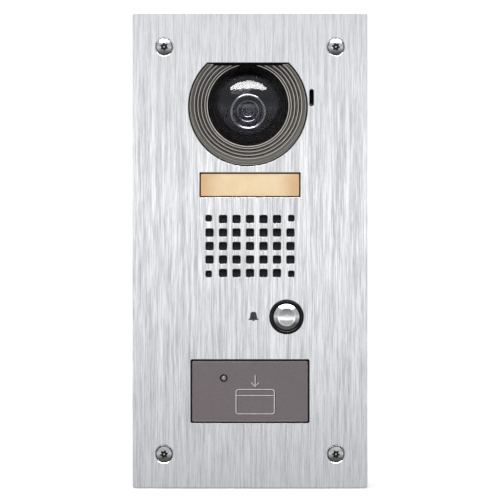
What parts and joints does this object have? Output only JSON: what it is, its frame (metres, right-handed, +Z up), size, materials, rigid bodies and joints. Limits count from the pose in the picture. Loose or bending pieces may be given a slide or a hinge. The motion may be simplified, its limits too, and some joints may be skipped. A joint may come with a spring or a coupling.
{
  "type": "door intercom panel",
  "caption": "Flush-mounted door intercom panel: tilting dome camera, lit name window, speaker grille, call button and card reader on a brushed steel faceplate with its back box.",
  "frame": {"origin": "centre of the wall opening, on the surface of the wall that the panel is let into", "axes": "+Z up, -Y out of the wall towards the visitor, +X to the visitor's right, seen from the front"},
  "size_m": [0.135, 0.0533, 0.273],
  "materials": {
    "brushed_stainless": "satin, brushed upright",
    "polished_steel": "polished",
    "galvanised_steel": "galvanised, spangled",
    "zinc_hardware": "bright zinc plated",
    "black_plastic": "fine moulded texture",
    "bezel_plastic": "satin moulded",
    "foam": "closed-cell foam",
    "black_rubber": "matte",
    "smoked_dome": "polished smoked polycarbonate",
    "lens_glass": "coated glass",
    "amber_window": "lit translucent acrylic",
    "name_card": "blank card",
    "clear_plastic": "clear moulded",
    "led_lens": "lit phosphor",
    "circuit_board": "green solder resist",
    "acoustic_cloth": "fine woven mesh",
    "cone_paper": "pressed paper pulp",
    "reader_plastic": "fine moulded texture",
    "terminal_plastic": "moulded nylon"
  },
  "bodies": {
    "housing": {"faceplate": "brushed_stainless", "mounting_screw_top_left": "polished_steel", "mounting_screw_top_right": "polished_steel", "mounting_screw_bottom_left": "polished_steel", "mounting_screw_bottom_right": "polished_steel", "wall_gasket": "foam", "back_box": "galvanised_steel", "cable_grommet": "black_rubber", "camera_bezel": "bezel_plastic", "bezel_gasket": "foam", "camera_dome": "smoked_dome", "dome_seal": "black_rubber", "camera_bracket": "black_plastic", "name_window": "amber_window", "name_gasket": "foam", "name_card": "name_card", "name_light_guide": "clear_plastic", "name_led": "led_lens", "name_light_board": "circuit_board", "acoustic_mesh": "acoustic_cloth", "speaker_gasket": "foam", "speaker_frame": "galvanised_steel", "speaker_cone": "cone_paper", "speaker_magnet": "galvanised_steel", "microphone_boot": "black_rubber", "microphone": "galvanised_steel", "button_bezel": "black_plastic", "button_gasket": "black_rubber", "button_spring": "polished_steel", "call_switch": "black_plastic", "call_board": "circuit_board", "reader_cover": "reader_plastic", "reader_gasket": "foam", "reader_module": "black_plastic", "reader_led": "clear_plastic", "reader_strap": "galvanised_steel", "reader_nut_left": "zinc_hardware", "reader_nut_right": "zinc_hardware", "chassis": "black_plastic", "chassis_nut_upper_left": "zinc_hardware", "chassis_nut_upper_right": "zinc_hardware", "chassis_nut_lower_left": "zinc_hardware", "chassis_nut_lower_right": "zinc_hardware", "main_board": "circuit_board", "terminal_block": "terminal_plastic", "volume_pot": "black_plastic", "rear_cover": "black_plastic", "rear_cover_screw_upper_left": "zinc_hardware", "rear_cover_screw_upper_right": "zinc_hardware", "rear_cover_screw_lower_left": "zinc_hardware", "rear_cover_screw_lower_right": "zinc_hardware"},
    "camera": {"camera_cradle": "black_plastic", "lens_barrel": "black_plastic", "lens_glass": "lens_glass", "sensor_board": "circuit_board", "tilt_lever": "black_plastic"},
    "call_button": {"button_cap": "polished_steel", "button_clip": "polished_steel"},
    "switch_plunger": {"call_switch_plunger": "black_plastic"},
    "volume_control": {"volume_dial": "clear_plastic"}
  },
  "joints": [
    {"name": "camera_tilt", "type": "hinge", "parent": "housing", "child": "camera", "pos_m": [-0.0011, 0.02012, 0.0838], "axis": [-1, 0, 0], "range_deg": [0, 22]},
    {"name": "call_button_press", "type": "slide", "parent": "housing", "child": "call_button", "axis": [0, 1, 0], "range_m": [0, 0.001], "stiffness_N_per_m": 800, "springref_m": -0.0015, "deforming": ["button_spring"]},
    {"name": "switch_plunger_press", "type": "slide", "parent": "housing", "child": "switch_plunger", "axis": [0, 1, 0], "range_m": [0, 0.0003]},
    {"name": "volume_adjust", "type": "hinge", "parent": "housing", "child": "volume_control", "pos_m": [0.024, 0.0225, -0.028], "axis": [0, 1, 0], "range_deg": [-140, 140]}
  ],
  "couplings": [
    {"joint": "switch_plunger_press", "follows": "call_button_press", "ratio": 0.3}
  ]
}
